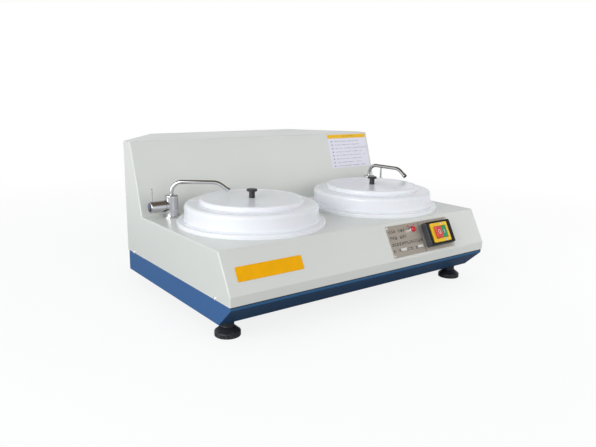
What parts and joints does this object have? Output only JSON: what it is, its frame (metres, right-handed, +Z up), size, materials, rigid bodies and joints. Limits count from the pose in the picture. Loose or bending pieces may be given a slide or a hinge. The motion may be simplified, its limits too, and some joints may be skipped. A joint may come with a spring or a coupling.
{
  "type": "metallographic polishing machine",
  "caption": "Bench-top grinding and polishing machine: sheet housing, lidded bowls round belt-driven discs, swinging water taps and a push-button switch on the front slope.",
  "frame": {"origin": "on the bench, under the centre of the bounding box", "axes": "+X to the operator's right, +Y from the front lip to the rear panel, +Z up"},
  "size_m": [0.7048, 0.6458, 0.329],
  "materials": {
    "cover_paint": "satin powder coat",
    "tray_paint": "satin powder coat",
    "screw_steel": "plated",
    "foot_plastic": "moulded",
    "deck_steel": "ground",
    "bowl_plastic": "gloss",
    "knob_plastic": "gloss",
    "disc_aluminium": "turned",
    "ring_steel": "turned",
    "cloth": "napped",
    "spindle_steel": "ground",
    "iron": "machined",
    "belt_rubber": "matt",
    "motor_paint": "gloss",
    "rotor_steel": "ground",
    "tap_chrome": "polished",
    "plate_steel": "brushed",
    "bezel_chrome": "polished",
    "lens_red": "gloss",
    "switch_black": "moulded",
    "switch_yellow": "gloss",
    "stop_red": "gloss",
    "start_green": "gloss",
    "label_yellow": "printed film",
    "label_white": "printed film",
    "gland_plastic": "moulded",
    "tail_brass": "turned",
    "supply_plastic": "extruded",
    "drain_plastic": "extruded"
  },
  "bodies": {
    "root": {"front_panel": "cover_paint", "worktop_panel": "cover_paint", "splash_guard": "cover_paint", "rear_panel": "cover_paint", "left_side_panel": "cover_paint", "right_side_panel": "cover_paint", "base_tray": "tray_paint", "cover_screws": "screw_steel", "nuts_and_bolts": "screw_steel", "panel_screws": "screw_steel", "deck_plate": "deck_steel", "deck_pillars": "deck_steel", "left_basin": "bowl_plastic", "right_basin": "bowl_plastic", "left_splash_ring": "bowl_plastic", "right_splash_ring": "bowl_plastic", "bearings": "spindle_steel", "spindle_housings": "iron", "belts": "belt_rubber", "motor_frame": "motor_paint", "motor_cowl": "motor_paint", "left_tap_body": "tap_chrome", "right_tap_body": "tap_chrome", "control_plate": "plate_steel", "lamp_bezel": "bezel_chrome", "lamp_lens": "lens_red", "switch_housing": "switch_black", "switch_face": "switch_yellow", "name_plate": "label_yellow", "instruction_sticker": "label_white", "cable_gland": "gland_plastic", "rear_hose_tails": "tail_brass", "supply_hoses": "supply_plastic", "drain_hoses": "drain_plastic"},
    "left_disc": {"left_disc": "disc_aluminium", "left_cloth": "cloth", "left_clamp_ring": "ring_steel", "left_spindle": "spindle_steel", "left_spindle_pulley": "iron"},
    "right_disc": {"right_disc": "disc_aluminium", "right_cloth": "cloth", "right_clamp_ring": "ring_steel", "right_spindle": "spindle_steel", "right_spindle_pulley": "iron"},
    "motor_rotor": {"motor_rotor": "rotor_steel", "motor_pulley": "iron"},
    "left_lid": {"left_lid": "bowl_plastic", "left_lid_knob": "knob_plastic"},
    "left_spout": {"left_spout": "tap_chrome"},
    "left_tap_handle": {"left_tap_handle": "tap_chrome"},
    "right_lid": {"right_lid": "bowl_plastic", "right_lid_knob": "knob_plastic"},
    "right_spout": {"right_spout": "tap_chrome"},
    "right_tap_handle": {"right_tap_handle": "tap_chrome"},
    "stop_button": {"stop_button": "stop_red"},
    "start_button": {"start_button": "start_green"},
    "foot_front_left": {"foot_front_left": "foot_plastic"},
    "foot_front_right": {"foot_front_right": "foot_plastic"},
    "foot_rear_left": {"foot_rear_left": "foot_plastic"},
    "foot_rear_right": {"foot_rear_right": "foot_plastic"}
  },
  "joints": [
    {"name": "left_disc_spin", "type": "hinge", "parent": "root", "child": "left_disc", "pos_m": [-0.1734, -0.1086, 0.195], "axis": [0, 0, 1], "continuous": true},
    {"name": "right_disc_spin", "type": "hinge", "parent": "root", "child": "right_disc", "pos_m": [0.1734, -0.1086, 0.195], "axis": [0, 0, 1], "continuous": true},
    {"name": "motor_spin", "type": "hinge", "parent": "root", "child": "motor_rotor", "pos_m": [0, 0.1858, 0.15], "axis": [0, 0, 1], "continuous": true},
    {"name": "left_lid_slide", "type": "slide", "parent": "root", "child": "left_lid", "axis": [0, -0.9992, 0.04], "range_m": [0, 0.23]},
    {"name": "left_spout_swing", "type": "hinge", "parent": "root", "child": "left_spout", "pos_m": [-0.293, 0.0268, 0.2205], "axis": [0, 0, 1], "range_deg": [-75, 50]},
    {"name": "left_tap_turn", "type": "hinge", "parent": "root", "child": "left_tap_handle", "pos_m": [-0.326, 0.0268, 0.197], "axis": [1, 0, 0], "range_deg": [0, 90]},
    {"name": "right_lid_slide", "type": "slide", "parent": "root", "child": "right_lid", "axis": [0, -0.9992, 0.04], "range_m": [0, 0.23]},
    {"name": "right_spout_swing", "type": "hinge", "parent": "root", "child": "right_spout", "pos_m": [0.293, 0.0268, 0.2205], "axis": [0, 0, 1], "range_deg": [-107, 18]},
    {"name": "right_tap_turn", "type": "hinge", "parent": "root", "child": "right_tap_handle", "pos_m": [0.326, 0.0268, 0.197], "axis": [1, 0, 0], "range_deg": [0, 90]},
    {"name": "stop_press", "type": "slide", "parent": "root", "child": "stop_button", "axis": [0, 0.8784, -0.478], "range_m": [0, 0.004], "stiffness_N_per_m": 1250},
    {"name": "start_press", "type": "slide", "parent": "root", "child": "start_button", "axis": [0, 0.8784, -0.478], "range_m": [0, 0.004], "stiffness_N_per_m": 1250},
    {"name": "foot_front_left_turn", "type": "hinge", "parent": "root", "child": "foot_front_left", "pos_m": [-0.3158, -0.2469, 0.009], "axis": [0, 0, 1], "range_deg": [-360, 360]},
    {"name": "foot_front_right_turn", "type": "hinge", "parent": "root", "child": "foot_front_right", "pos_m": [0.3158, -0.2469, 0.009], "axis": [0, 0, 1], "range_deg": [-360, 360]},
    {"name": "foot_rear_left_turn", "type": "hinge", "parent": "root", "child": "foot_rear_left", "pos_m": [-0.19, 0.2558, 0.009], "axis": [0, 0, 1], "range_deg": [-360, 360]},
    {"name": "foot_rear_right_turn", "type": "hinge", "parent": "root", "child": "foot_rear_right", "pos_m": [0.19, 0.2558, 0.009], "axis": [0, 0, 1], "range_deg": [-360, 360]}
  ],
  "couplings": [
    {"joint": "right_disc_spin", "follows": "left_disc_spin", "ratio": 1},
    {"joint": "motor_spin", "follows": "left_disc_spin", "ratio": 1.5556}
  ]
}
